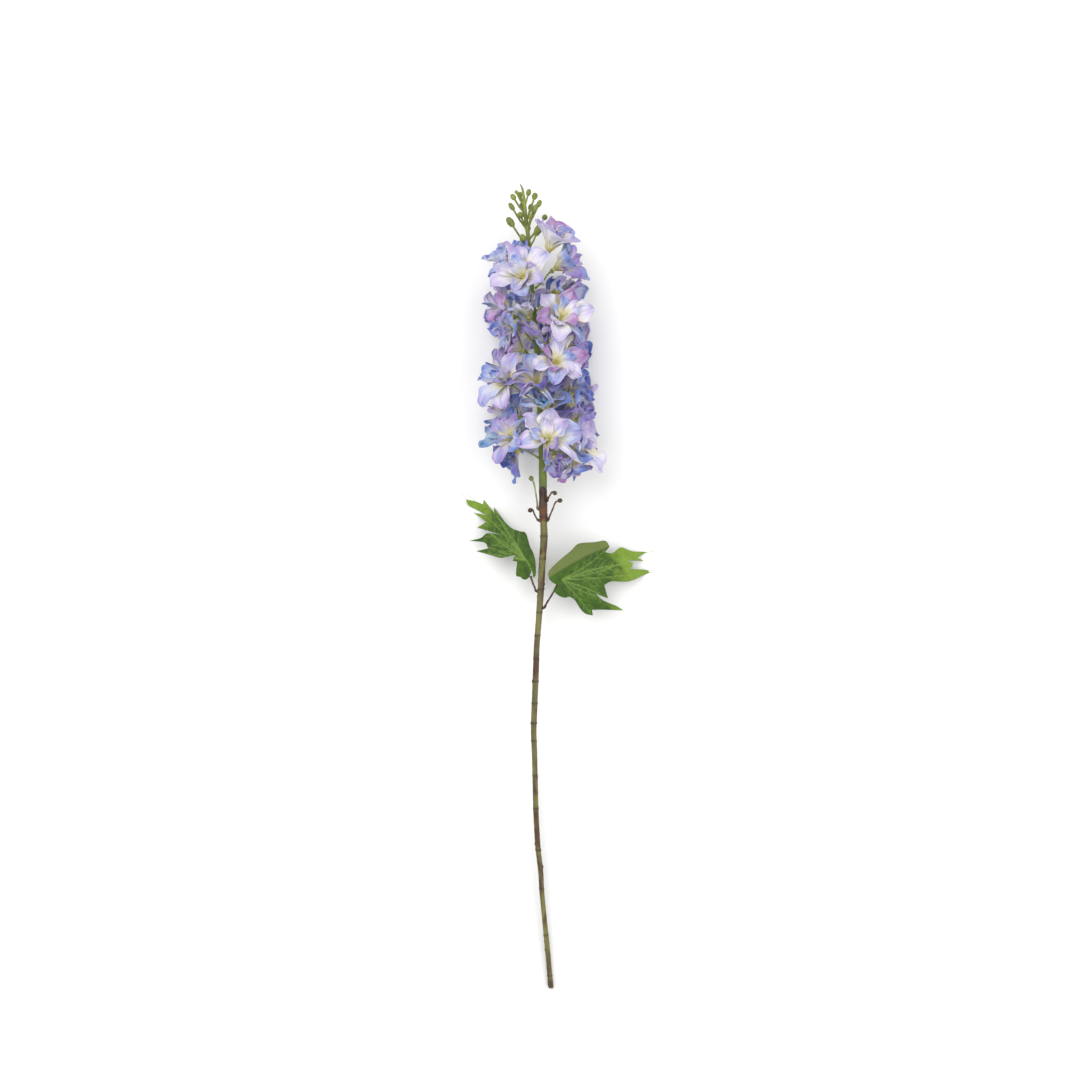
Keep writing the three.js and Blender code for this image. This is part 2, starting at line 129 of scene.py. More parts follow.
def tube(route, radii, sides, start=0):
    """A closed round rod along a route. Returns points and faces."""
    route = np.asarray(route, float)
    radii = np.broadcast_to(radii, len(route))
    headings = np.gradient(route, axis=0)
    headings /= np.linalg.norm(headings, axis=1, keepdims=True)
    across = unit(np.cross(headings[0], [0.31, 0.2, 0.93]))
    rings = []
    angles = np.arange(sides) / sides * 2 * math.pi
    for centre, heading, radius in zip(route, headings, radii):
        across = unit(across - heading * np.dot(across, heading))
        other = np.cross(heading, across)
        circle = np.outer(np.cos(angles), across) + np.outer(np.sin(angles), other)
        rings.append(centre + radius * circle)
    points = np.concatenate(rings + [route[:1], route[-1:]])
    faces = []
    for ring in range(len(route) - 1):
        for side in range(sides):
            a, b = ring * sides + side, ring * sides + (side + 1) % sides
            faces.append([start + a, start + b, start + b + sides, start + a + sides])
    first, last = len(points) - 2, len(points) - 1
    end = (len(route) - 1) * sides
    for side in range(sides):
        following = (side + 1) % sides
        faces.append([start + first, start + following, start + side])
        faces.append([start + last, start + end + side, start + end + following])
    return points, faces


def curve_through(points, count):
    """A smooth line through points, evenly numbered."""
    points = np.asarray(points, float)
    padded = np.concatenate([[2 * points[0] - points[1]], points, [2 * points[-1] - points[-2]]])
    places = np.linspace(0, len(points) - 1 - 1e-9, count)
    made = []
    for place in places:
        at = int(place)
        t = place - at
        a, b, c, d = padded[at : at + 4]
        square, cube = 2 * a - 5 * b + 4 * c - d, 3 * b - a - 3 * c + d
        made.append(0.5 * (2 * b + (c - a) * t + square * t**2 + cube * t**3))
    return np.array(made)


class Joined:
    """Collects parts of one mesh."""

    def __init__(self):
        self.points, self.faces, self.attributes, self.count = [], [], {}, 0

    def add(self, maker, *values, **attributes):
        points, faces = maker(*values, start=self.count)
        self.points.append(points)
        self.faces.extend(np.asarray(face).tolist() for face in faces)
        for key, value in attributes.items():
            value = np.asarray(value, float)
            if value.ndim == 0 or value.shape == (3,):
                value = np.tile(value, (len(points), 1)) if value.ndim else np.full(len(points), value)
            self.attributes.setdefault(key, []).append(value)
        self.count += len(points)
        return points

    def piece(self, name, material, slot, replaced=()):
        attributes = {key: np.concatenate(parts) for key, parts in self.attributes.items()}
        points = np.concatenate(self.points)
        return add_piece(name, points, self.faces, material, replaced, attributes)


# ------------------------------------------------------------------ material helpers


class Shader:
    """A node material whose nodes are made by short calls."""

    def __init__(self, name, **settings):
        self.material = bpy.data.materials.new(name)
        self.material.use_nodes = True
        self.tree = self.material.node_tree
        self.surface = self.tree.nodes["Principled BSDF"]
        for key, value in settings.items():
            self.surface.inputs[key.replace("_", " ")].default_value = value

    def node(self, kind, inputs=(), **settings):
        made = self.tree.nodes.new(kind)
        for key, value in settings.items():
            setattr(made, key, value)
        for key, value in dict(inputs).items():
            if isinstance(value, bpy.types.NodeSocket):
                self.tree.links.new(value, made.inputs[key])
            else:
                made.inputs[key].default_value = value
        return made

    def attribute(self, name):
        return self.node("ShaderNodeAttribute", attribute_name=name)

    def maths(self, operation, *values):
        return self.node("ShaderNodeMath", dict(enumerate(values)), operation=operation).outputs[0]

    def ramp(self, value, low, high, start=0.0, end=1.0):
        inputs = {"Value": value, "From Min": low, "From Max": high, "To Min": start, "To Max": end}
        return self.node("ShaderNodeMapRange", inputs, interpolation_type="SMOOTHSTEP").outputs[0]

    def mix(self, share, one, two, blend="MIX"):
        made = self.node("ShaderNodeMix", data_type="RGBA", blend_type=blend)
        for key, value in (("Factor", share), ("A", one), ("B", two)):
            socket = [s for s in made.inputs if s.name == key and s.enabled][0]
            if isinstance(value, bpy.types.NodeSocket):
                self.tree.links.new(value, socket)
            elif key == "Factor":
                socket.default_value = value
            else:
                socket.default_value = [*value, 1]
        return [s for s in made.outputs if s.enabled][0]

    def place(self, scale=(1, 1, 1)):
        where = self.node("ShaderNodeTexCoord").outputs["Object"]
        return self.node("ShaderNodeMapping", {"Vector": where, "Scale": scale}).outputs[0]

    def noise(self, vector, scale, detail=3.0, roughness=0.55, distortion=0.0):
        inputs = {
            "Vector": vector,
            "Scale": scale,
            "Detail": detail,
            "Roughness": roughness,
            "Distortion": distortion,
        }
        return self.node("ShaderNodeTexNoise", inputs).outputs["Fac"]

    def combine(self, x, y, z):
        return self.node("ShaderNodeCombineXYZ", {"X": x, "Y": y, "Z": z}).outputs[0]

    def bump(self, height, distance, strength=1.0):
        inputs = {"Height": height, "Distance": distance, "Strength": strength}
        return self.node("ShaderNodeBump", inputs).outputs[0]

    def finish(self, **links):
        for key, socket in links.items():
            self.tree.links.new(socket, self.surface.inputs[key.replace("_", " ")])
        return self.material


def petal_material():
    """Soft printed petal fabric: cream heart, watercolour body and tip, fine pleats whose hollows carry
    painted shade, and a close weave.
    """
    s = Shader("petal_fabric", Roughness=0.8, Sheen_Weight=0.25)
    s.surface.inputs["Subsurface Weight"].default_value = 0.12
    s.surface.inputs["Subsurface Scale"].default_value = 0.004
    s.surface.inputs["Specular IOR Level"].default_value = 0.25
    s.surface.inputs["Subsurface Radius"].default_value = (1.0, 0.85, 0.95)
    place = s.attribute("petal_place").outputs["Vector"]
    parts = s.node("ShaderNodeSeparateXYZ", {"Vector": place}).outputs
    along, across, own = parts[0], parts[1], parts[2]
    seed = s.maths("MULTIPLY", own, 37.0)
    streak_place = s.combine(s.maths("MULTIPLY", across, 2.6), s.maths("MULTIPLY", along, 0.9), seed)
    streak = s.noise(streak_place, 1.7, 4.0, 0.6, 0.4)
    wash_place = s.combine(across, s.maths("MULTIPLY", along, 1.6), s.maths("ADD", seed, 9.0))
    wash = s.noise(wash_place, 0.9, 2.0)
    reach = s.maths("ADD", along, s.maths("MULTIPLY", s.maths("SUBTRACT", wash, 0.5), 0.9))
    reach = s.maths("ADD", reach, s.maths("MULTIPLY", s.maths("SUBTRACT", streak, 0.5), 0.55))
    cream = s.mix(s.ramp(along, 0.06, 0.32), colour("CFC85E"), colour("E8E1B2"))
    body = s.mix(s.ramp(reach, 0.24, 0.66), cream, s.attribute("tone_body").outputs["Color"])
    shade = s.mix(s.ramp(reach, 0.52, 0.98), body, s.attribute("tone_tip").outputs["Color"])
    patch_place = s.combine(s.maths("MULTIPLY", across, 1.3), along, s.maths("ADD", seed, 21.0))
    patch = s.ramp(s.noise(patch_place, 1.9, 3.0, 0.5, 0.6), 0.48, 0.68, 0.0, 0.85)
    patch = s.maths("MULTIPLY", patch, s.ramp(along, 0.3, 0.6))
    shade = s.mix(patch, shade, s.attribute("tone_patch").outputs["Color"])
    broken = s.ramp(streak, 0.3, 0.65, 0.35, 1.0)
    stripe = s.maths("MULTIPLY", s.attribute("stripe").outputs["Fac"], broken)
    shade = s.mix(stripe, shade, colour("B5AE84"))
    pleat_place = s.combine(s.maths("MULTIPLY", across, 13.0), s.maths("MULTIPLY", along, 1.1), seed)
    pleat = s.noise(pleat_place, 1.3, 3.0, 0.6)
    # painted shade: the colour is darkened in the hollows of the pleats
    shade = s.mix(s.ramp(pleat, 0.35, 0.7, 0.3, 0.0), shade, (0.62, 0.58, 0.74), "MULTIPLY")
    weave = s.noise(s.place(), 2600.0, 1.0)
    height = s.maths("ADD", s.maths("MULTIPLY", pleat, 1.0), s.maths("MULTIPLY", weave, 0.12))
    rough = s.ramp(weave, 0.3, 0.7, 0.72, 0.88)
    return s.finish(Base_Color=shade, Roughness=rough, Normal=s.bump(height, 0.0007, 0.55))


def moulded_material(name, light, dark, brown, brown_share, roughness=0.5, grain=900.0):
    """Moulded plastic greenery: two greens, brown blotches, fine lengthwise grain."""
    s = Shader(name, Roughness=roughness)
    where = s.place((1, 0.25, 1))
    mottle = s.noise(where, 140.0, 4.0, 0.6)
    blotch = s.noise(s.place((1, 0.35, 1)), 60.0, 3.0, 0.65, 0.5)
    fine = s.noise(where, grain, 2.0)
    shade = s.mix(s.ramp(mottle, 0.3, 0.7), colour(dark), colour(light))
    browned = s.ramp(blotch, 0.62 - brown_share * 0.3, 0.74 - brown_share * 0.25)
    shade = s.mix(browned, shade, colour(brown))
    shade = s.mix(s.ramp(fine, 0.3, 0.75, 0.25, 0.0), shade, (0.45, 0.42, 0.3), "MULTIPLY")
    shade = s.mix(s.attribute("dark").outputs["Fac"], shade, colour("2E1B10"))
    rough = s.ramp(mottle, 0.25, 0.75, roughness - 0.1, roughness + 0.15)
    height = s.maths("ADD", fine, s.maths("MULTIPLY", mottle, 1.5))
    return s.finish(Base_Color=shade, Roughness=rough, Normal=s.bump(height, 0.0003, 0.6))


def leaf_material():
    """Printed leaf fabric: deep green, pale branching veins, yellow-green outer lobes, woven grain."""
    s = Shader("leaf_fabric", Roughness=0.62, Sheen_Weight=0.05)
    s.surface.inputs["Specular IOR Level"].default_value = 0.35
    mottle = s.noise(s.place(), 110.0, 4.0, 0.6)
    fine = s.noise(s.place(), 1300.0, 2.0)
    outer = s.attribute("outer").outputs["Fac"]
    outer = s.maths("ADD", outer, s.maths("MULTIPLY", s.maths("SUBTRACT", mottle, 0.5), 0.8))
    shade = s.mix(s.ramp(mottle, 0.3, 0.7), colour("2D490C"), colour("42640F"))
    shade = s.mix(s.ramp(outer, 0.4, 1.05, 0.0, 0.85), shade, colour("7F9C30"))
    shade = s.mix(s.attribute("vein").outputs["Fac"], shade, colour("7E9B48"))
    under = s.maths("MULTIPLY", s.attribute("under").outputs["Fac"], 0.85)
    shade = s.mix(under, shade, colour("69763C"))
    shade = s.mix(s.ramp(fine, 0.35, 0.7, 0.2, 0.0), shade, (0.5, 0.55, 0.35), "MULTIPLY")
    height = s.maths("ADD", fine, s.maths("MULTIPLY", mottle, 0.8))
    rough = s.ramp(fine, 0.3, 0.7, 0.55, 0.75)
    return s.finish(Base_Color=shade, Normal=s.bump(height, 0.0003, 0.6), Roughness=rough)


def stamen_material():
    s = Shader("stamen_yellow", Roughness=0.6)
    grain = s.noise(s.place(), 1500.0, 2.0)
    shade = s.mix(s.ramp(grain, 0.35, 0.65), colour("C2BC5C"), colour("E6E08E"))
    return s.finish(Base_Color=shade, Normal=s.bump(grain, 0.0003, 0.5))


PETAL = petal_material()
STEM = moulded_material("stem_olive", "77733A", "55522A", "4A2C16", 0.55, 0.5)
COLLAR = moulded_material("collar_brown", "7A4A22", "4A2C14", "2E190C", 0.4, 0.45)
AXIS = moulded_material("axis_green", "7D8C38", "56682A", "5C4A22", 0.1, 0.5)
PEDICEL = moulded_material("pedicel_green", "9BA659", "76853F", "5C4A22", 0.05, 0.5)
BUD = moulded_material("bud_green", "8E9741", "606C28", "6B6A2A", 0.08, 0.5)
STALK = moulded_material("stalk_brown_green", "7F7A3A", "544426", "42230F", 0.7, 0.45)
THREAD = moulded_material("thread_pale", "B9C08A", "8F9C58", "8F9C58", 0.0, 0.7)
LEAF = leaf_material()
STAMEN = stamen_material()

# ------------------------------------------------------------------ stem, collar and axis

STEM_SIDES = 40
STEM_STEP = 1.0 * MM
COLLAR_LAP = 1.3 * MM


def rings_of(node):
    """Rows of y, x, z and radius of a node whose rings lie in planes of constant y."""
    points = points_of(node)
    rows = []
    for y in np.unique(np.round(points[:, 1], 4)):
        ring = points[np.abs(points[:, 1] - y) < 0.00006]
        if len(ring) < 6:
            continue
        centre = (ring.min(0) + ring.max(0)) / 2
        reach = np.linalg.norm(ring - centre, axis=1)
        rows.append([y, centre[0], centre[2], reach.max()])
    return np.array(rows)


def smooth_line(rows, y, column, width):
    """A ring value read at y, averaged over a short stretch so that the line has no corners."""
    offsets = np.linspace(-width, width, 7)
    return np.mean([np.interp(y + offset, rows[:, 0], rows[:, column]) for offset in offsets], axis=0)


AXIS_ROWS = np.concatenate([rings_of(node) for node in ("stem", "stem_collar", "spike_axis")])


def stem_piece(node, name, material, seed, knobs, lap=0.0):
    """One length of stem. A lap makes both of its ends run on over the neighbouring lengths."""
    rows = rings_of(node)
    low, high = rows[0, 0] - lap, rows[-1, 0] + lap
    ys = np.linspace(low, high, max(int((high - low) / STEM_STEP), 12))
    centre_x = smooth_line(AXIS_ROWS, ys, 1, 9 * MM)
    centre_z = smooth_line(AXIS_ROWS, ys, 2, 9 * MM)
    if not lap:
        centre_x[:3], centre_z[:3] = rows[0, 1], rows[0, 2]
    wide = np.interp(ys, rows[:, 0], rows[:, 3])
    base = smooth_line(rows, ys, 3, 14 * MM)
    proud = wide - base
    random = np.random.default_rng(seed)
    angles = np.arange(STEM_SIDES) / STEM_SIDES * 2 * math.pi
    phases = random.uniform(0, 6.28, 6)
    points = []
    dark = []
    for at, y in enumerate(ys):
        ripple = 1 + 0.035 * np.sin(2 * angles + phases[0] + y * 45)
        ripple = ripple + 0.02 * np.sin(5 * angles + phases[1] - y * 30)
        ripple += 0.018 * np.sin(3 * angles + y * 180 + phases[2]) * math.sin(y * 900 + phases[3])
        radius = (base[at] + np.clip(proud[at], -0.3 * MM, 1) * 1.15) * ripple
        for knob_y, knob_angle, knob_size in knobs:
            turn = np.angle(np.exp(1j * (angles - knob_angle)))
            lump = np.exp(-((y - knob_y) / (1.6 * MM)) ** 2 - (turn / 0.5) ** 2)
            radius = radius + knob_size * lump
        x = centre_x[at] + radius * np.cos(angles)
        z = centre_z[at] + radius * np.sin(angles)
        points.append(np.stack([x, np.full(STEM_SIDES, y), z], axis=1))
        dark.append(np.full(STEM_SIDES, float(np.clip(proud[at] / (0.25 * MM), 0, 1) * 0.75)))
    ends = [[centre_x[0], low + 0.4 * MM, centre_z[0]], [centre_x[-1], high, centre_z[-1]]]
    points = np.concatenate(points + [ends])
    points[:, 2] = np.maximum(points[:, 2], 0.0)
    dark = np.concatenate(dark + [[1.0, 0.6]])
    faces = []
    for ring in range(len(ys) - 1):
        for side in range(STEM_SIDES):
            a, b = ring * STEM_SIDES + side, ring * STEM_SIDES + (side + 1) % STEM_SIDES
            faces.append([a, a + STEM_SIDES, b + STEM_SIDES, b])
    end = (len(ys) - 1) * STEM_SIDES
    for side in range(STEM_SIDES):
        following = (side + 1) % STEM_SIDES
        faces.append([len(points) - 2, side, following])
        faces.append([len(points) - 1, end + following, end + side])
    return add_piece(name, points, faces, material, (node,), {"dark": dark})


def knobs_along(node, count, seed, size):
    """Small bumps where side shoots were, at repeatable places: y, angle, size."""
    random = np.random.default_rng(seed)
    rows = rings_of(node)
    ys = random.uniform(rows[0, 0] + 20 * MM, rows[-1, 0] - 6 * MM, count)
    return [(y, random.uniform(0, 6.28), size * random.uniform(0.6, 1.3)) for y in ys]


stem_knobs = knobs_along("stem", 26, 5, 0.7 * MM)
collar_knobs = knobs_along("stem_collar", 4, 6, 0.8 * MM)
axis_knobs = knobs_along("spike_axis", 16, 7, 0.8 * MM)
stem_piece("stem", "stem_lower", STEM, 3, stem_knobs)
stem_piece("stem_collar", "stem_dark_collar", COLLAR, 4, collar_knobs, COLLAR_LAP)
stem_piece("spike_axis", "spike_green_axis", AXIS, 8, axis_knobs)


def refined(node, name, material, voxel, rounds, swell):
    """A finely remeshed, smoothed copy of a small solid, swelled to make up for the smoothing."""
    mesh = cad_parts[node].data.copy()
    mesh.materials.clear()
    piece = bpy.data.objects.new(name, mesh)
    bpy.context.scene.collection.objects.link(piece)
    remesh = piece.modifiers.new("remesh", "REMESH")
    remesh.mode = "VOXEL"
    remesh.voxel_size = voxel
    relax = piece.modifiers.new("relax", "SMOOTH")
    relax.factor = 0.5
    relax.iterations = rounds
    made = bpy.data.meshes.new_from_object(piece.evaluated_get(bpy.context.evaluated_depsgraph_get()))
    bpy.data.objects.remove(piece)
    points = np.array([v.co + v.normal * swell for v in made.vertices])
    faces = [list(p.vertices) for p in made.polygons]
    return add_piece(name, points, faces, material, (node,), {"dark": np.zeros(len(points))})


refined("tip_bud_spray", "tip_spray_of_buds", BUD, 0.32 * MM, 4, 0.45 * MM)


def rod_route(node):
    """The centre line of a thin rod, from its regular six-sided rings, starting at the stem."""
    points = points_of(node)
    centres = []
    for point in points:
        near = points[np.argsort(np.linalg.norm(points - point, axis=1))[:6]]
        centre = near.mean(0)
        reach = np.linalg.norm(near - centre, axis=1)
        regular = np.ptp(reach) < 0.04 * MM and 0.6 * MM < reach.mean() < 1.4 * MM
        flat = np.linalg.svd(near - centre)[1][2] < 0.05 * MM
        if regular and flat and all(np.linalg.norm(centre - other) > 0.3 * MM for other in centres):
            centres.append(centre)
    centres = np.array(centres)
    nearest = np.interp(centres[:, 1], AXIS_ROWS[:, 0], AXIS_ROWS[:, 1])
    order = [int(np.argmin(np.abs(centres[:, 0] - nearest)))]
    while len(order) < len(centres):
        gaps = np.linalg.norm(centres - centres[order[-1]], axis=1)
        gaps[order] = 1
        order.append(int(np.argmin(gaps)))
    return centres[order]


STALK_STATIONS = 46
STALK_SIDES = 14
KNOB_STATIONS = 13
KNOB_SIDES = 18


def stalk_piece(node, name, thick, thin, bud, seed, material, beyond=0.0):
    """A side stalk out of the stem, ending in a knob, or running on under a leaf where bud is 0."""
    random = np.random.default_rng(seed)
    route = rod_route(node)
    root = route[0]
    below = root[1] - 2 * MM
    stem_x, stem_z = (np.interp(below, AXIS_ROWS[:, 0], AXIS_ROWS[:, column]) for column in (1, 2))
    start = np.array([stem_x, root[1] - 2.5 * MM, stem_z])
    if beyond:
        route = np.concatenate([route, [route[-1] + unit(route[-1] - route[-2]) * beyond]])
    line = curve_through(np.concatenate([[start + (root - start) * 0.45], route]), STALK_STATIONS)
    share = np.linspace(0, 1, STALK_STATIONS)
    uneven = 1 + 0.08 * np.sin(share * 34) + random.uniform(-0.04, 0.04, STALK_STATIONS)
    radii = (thick + (thin - thick) * smooth(0, 0.45, share)) * uneven
    if bud == 0:
        radii = radii + thin * 0.5 * smooth(0.8, 1, share)
    joined = Joined()
    shade = np.concatenate([np.repeat(smooth(0.75, 0.0, share) * 0.75, STALK_SIDES), [0.7, 0.0]])
    joined.add(tube, line, radii, STALK_SIDES, dark=shade)
    if bud:
        tip = line[-1]
        heading = unit(line[-1] - line[-4])
        reach = np.linspace(-1, 1, KNOB_STATIONS)
        beads = tip + np.outer(reach, heading) * bud * 1.15
        uneven = 1 + 0.05 * np.sin(np.arange(KNOB_STATIONS))
        swell = np.sqrt(np.clip(1 - reach**2, 0.01, 1)) * bud * uneven
        joined.add(tube, beads, swell, KNOB_SIDES, dark=0.25)
    joined.piece(name, material, "collar", (node,))


# Node, piece, thickness at the stem and along the stalk, knob radius, seed and material.
BUD_STALKS = [
    ("left_upper_bud_stalk", "left_upper_bud_on_stalk", 1.9, 0.85, 2.5, 31, PEDICEL),
    ("left_lower_bud_stalk", "left_lower_bud_on_stalk", 1.8, 0.9, 2.4, 32, STALK),
    ("right_curled_stalk", "right_curled_bud_on_stalk", 1.8, 0.9, 2.3, 33, STALK),
    ("right_lower_bud_stalk", "right_lower_bud_on_stalk", 1.8, 0.9, 2.4, 34, STALK),
]
PETIOLE_BEYOND = 4 * MM

for node, name, thick, thin, bud, seed, material in BUD_STALKS:
    stalk_piece(node, name, thick * MM, thin * MM, bud * MM, seed, material)
stalk_piece("leaf_left_petiole", "leaf_left_stalk", 1.7 * MM, 1.0 * MM, 0, 35, STALK, PETIOLE_BEYOND)
stalk_piece("leaf_right_petiole", "leaf_right_stalk", 1.7 * MM, 1.0 * MM, 0, 36, STALK, PETIOLE_BEYOND)

# ------------------------------------------------------------------ florets

PETAL_ROWS = 19
PETAL_COLUMNS = 17
PETAL_THICKNESS = 0.35 * MM
FLOOR = 0.25 * MM

TONES = {
    "white": ("E9E5E6", "C9BCDD", "A9B8DE"),
    "pale": ("DFD7E4", "B8A4D2", "9AABDA"),
    "lilac": ("CDC0DC", "A28AC8", "8A9ED2"),
    "violet": ("B8A4D0", "8168B2", "7C8BC8"),
    "magenta": ("CFB9D6", "A272AC", "9C86BE"),
    "sky": ("CDD3E4", "8CA1D6", "AFA2D2"),
    "blue": ("A9B6DA", "5A79C2", "8C84C4"),
    "deep": ("8696C8", "4460AE", "6C62AC"),
    "teal": ("A8BDD2", "6596C4", "7D90C4"),
    "indigo": ("988DC2", "5C5099", "6878BC"),
}
# Each floret's tones, petal by petal in turn, and how freely its petals curl.
STYLES = {
    1: (["pale", "white", "pale", "sky", "magenta"], 0.15),
    2: (["white", "sky", "pale", "white", "pale"], 0.3),
    3: (["blue", "pale", "sky"], 0.4),
    4: (["lilac", "blue", "violet", "sky"], 0.9),
    5: (["pale", "lilac", "sky"], 0.8),
    6: (["lilac", "pale", "magenta"], 0.9),
    7: (["blue", "sky", "white"], 0.4),
    8: (["white", "magenta", "white", "sky"], 0.3),
    9: (["blue", "sky", "lilac"], 0.4),
    10: (["magenta", "lilac", "pale"], 0.6),
    11: (["violet", "indigo", "lilac"], 0.6),
    12: (["lilac", "blue", "violet"], 0.7),
    13: (["white", "sky", "white", "magenta"], 0.3),
    14: (["pale", "lilac", "blue", "sky"], 0.3),
    15: (["lilac", "sky", "indigo"], 0.6),
    16: (["blue", "lilac", "deep"], 0.7),
    17: (["teal", "blue", "sky"], 0.5),
    18: (["white", "pale", "violet", "white", "sky"], 0.35),
    19: (["indigo", "violet", "blue"], 0.6),
    20: (["blue", "sky", "teal", "lilac"], 0.6),
    21: (["deep", "blue", "indigo"], 0.4),
    22: (["pale", "lilac", "blue", "white"], 0.5),
    23: (["magenta", "blue", "pale"], 0.4),
    24: (["violet", "sky", "lilac"], 0.5),
}
HIDDEN_STYLES = [
    (["lilac", "blue", "pale"], 0.4),
    (["sky", "violet", "white"], 0.4),
    (["pale", "lilac", "deep"], 0.4),
]


# How much longer and wider a floret's petals are cut, and how strongly they ruffle.
CUTS = {
    1: (1.1, 1.3, 0.5),
    2: (1.02, 1.25, 0.8),
    3: (1.1, 1.15, 1.0),
    4: (1.22, 1.2, 1.0),
    5: (1.1, 1.1, 1.0),
    7: (1.2, 1.2, 1.0),
    8: (1.0, 1.25, 0.8),
    11: (1.25, 1.2, 1.0),
    13: (1.0, 1.25, 0.8),
    14: (1.08, 1.3, 0.9),
    15: (1.3, 1.2, 1.0),
    17: (1.25, 1.1, 1.0),
    18: (1.04, 1.3, 0.8),
    20: (1.05, 1.15, 1.0),
    22: (1.04, 1.25, 0.8),
    23: (0.95, 1.1, 0.8),
    24: (0.8, 1.1, 0.8),
}
PLAIN_CUT = (1.0, 1.05, 1.0)
HIDDEN_CUT = (1.1, 1.2, 1.0)


def ring_in(points, radius):
    """Centres and normals of the regular six-point rings of a radius among a node's vertices."""
    found = []
    for point in points:
        near = points[np.linalg.norm(points - point, axis=1) < 2 * radius + 0.03 * MM]
        if len(near) != 6:
            continue
        centre = near.mean(0)
        if np.abs(np.linalg.norm(near - centre, axis=1) - radius).max() > 0.03 * MM:
            continue
        if all(np.linalg.norm(centre - other) > 0.2 * MM for other, _ in found):
            normal = np.linalg.svd(near - centre)[2][2]
            found.append((centre, normal))
    return found


def read_floret(number):
    """Where a floret's CAD solid puts its pedicel, its heart and its petals."""
    points = points_of(f"floret_{number:02d}")
    thin = ring_in(points, PEDICEL_RADIUS)
    foot = ring_in(points, CALYX_FOOT_RADIUS)
    base, facing = foot[0]
    rings = sorted((centre for centre, _ in thin), key=lambda c: -np.linalg.norm(c - base))
    root, bend = rings[0], rings[-1]
    if np.dot(facing, base - bend) < 0:
        facing = -facing
    heart = base + facing * CALYX_LENGTH
    offsets = points - heart
    distances = np.linalg.norm(offsets, axis=1)
    ahead = offsets @ facing
    petals = (distances > 12 * MM) & (ahead > -1 * MM)
    outer = distances[petals]
    reach = float(np.clip(outer.max(), 23 * MM, 34 * MM))
    tips = petals & (distances > 0.7 * reach) & (points[:, 2] > 2 * MM)
    rise = ahead[tips] / distances[tips] if tips.any() else np.array([0.5])
    cup = math.degrees(math.asin(float(np.clip(np.median(rise), 0.15, 0.85))))
    return {
        "number": number,
        "root": root,
        "bend": bend,
        "base": base,
        "heart": heart,
        "facing": facing,
        "reach": reach,
        "cup": cup,
    }


def petal_grid(floret, angle, shape):
    """Points of one petal, from its claw at the heart to its tip, along and across."""
    facing = floret["facing"]
    first = unit(np.cross(facing, [0.2, 1.0, 0.35]))
    second = np.cross(facing, first)
    outward = math.cos(angle) * first + math.sin(angle) * second
    side = np.cross(facing, outward)
    t = np.linspace(0, 1, PETAL_ROWS)
    u = 1 - (1 - t) ** 1.45
    v = np.linspace(-1, 1, PETAL_COLUMNS)
    along, across = u[:, None], v[None, :]
    lift = np.radians(shape["start"] + (shape["end"] - shape["start"]) * smooth(0, 0.9, u))
    lift = lift + np.radians(shape["tip_curl"]) * smooth(0.72, 1.0, u)
    steps = np.diff(u, prepend=0) * shape["length"]
    run = np.cumsum(np.cos(lift) * steps)
    climb = np.cumsum(np.sin(lift) * steps)
    grow = 0.15 + 0.85 * smooth(0.0, shape["shoulder"], u)
    close = np.clip(1 - np.clip((u - 0.6) / 0.4, 0, 1) ** shape["blunt"], 0.002, 1) ** shape["point"]
    half = shape["width"] / 2 * grow * close
    furl = shape["furl"] * (0.55 + 0.45 * smooth(0.1, 0.8, u)) + 1e-3
    turn = across * furl[:, None]
    x = half[:, None] * np.sin(turn) / furl[:, None]
    y = half[:, None] * (1 - np.cos(turn)) / furl[:, None]
    y = y - shape["crease"] * np.exp(-((across / 0.13) ** 2)) * (1 - along) ** 0.4
    edge = np.abs(across) ** 1.7 * smooth(0.15, 0.8, u)[:, None]
    swing = 2 * math.pi * shape["waves"] * along + shape["phase"] + np.sign(across) * shape["odd"]
    swing = np.sin(swing)
    y = y + shape["ruffle"] * edge * swing
    rim = smooth(0.5, 1.0, along) * np.sin(across * 5.3 + shape["phase"]) * shape["ruffle"] * 0.6
    wander = across * 11 + shape["phase"] * 2 + 1.3 * np.sin(along * 4 + shape["odd"])
    pleats = shape["pleat"] * np.sin(wander) * smooth(0.08, 0.4, u)[:, None]
    y = y + rim + pleats
    x = x * (1 + shape["lopsided"] * across)
    jagged = np.sin(along * 17 + shape["phase"] + across * shape["odd"])
    x = x * (1 + 0.09 * np.abs(across) * jagged)
    back = shape["notch"] * np.exp(-(((across - shape["skew"]) / 0.3) ** 2))
    back = back + 1.3 * MM * np.cos(across * 7.5 + shape["phase"]) * np.abs(across)
    back = back * smooth(0.66, 1, u)[:, None]
    tilt = np.radians(shape["tilt"] + shape["twist"] * u)[:, None]
    x, y = x * np.cos(tilt) - y * np.sin(tilt), x * np.sin(tilt) + y * np.cos(tilt)
    bow = shape["bow"] * along ** 2
    normal = -np.sin(lift)[:, None] * outward + np.cos(lift)[:, None] * facing
    ahead = np.cos(lift)[:, None] * outward + np.sin(lift)[:, None] * facing
    grid = floret["heart"] + run[:, None] * outward + climb[:, None] * facing
    grid = grid[:, None, :] + (x + bow)[..., None] * side + y[..., None] * normal[:, None, :]
    grid = grid - back[..., None] * ahead[:, None, :]
    return laid_down(grid, outward), u, v


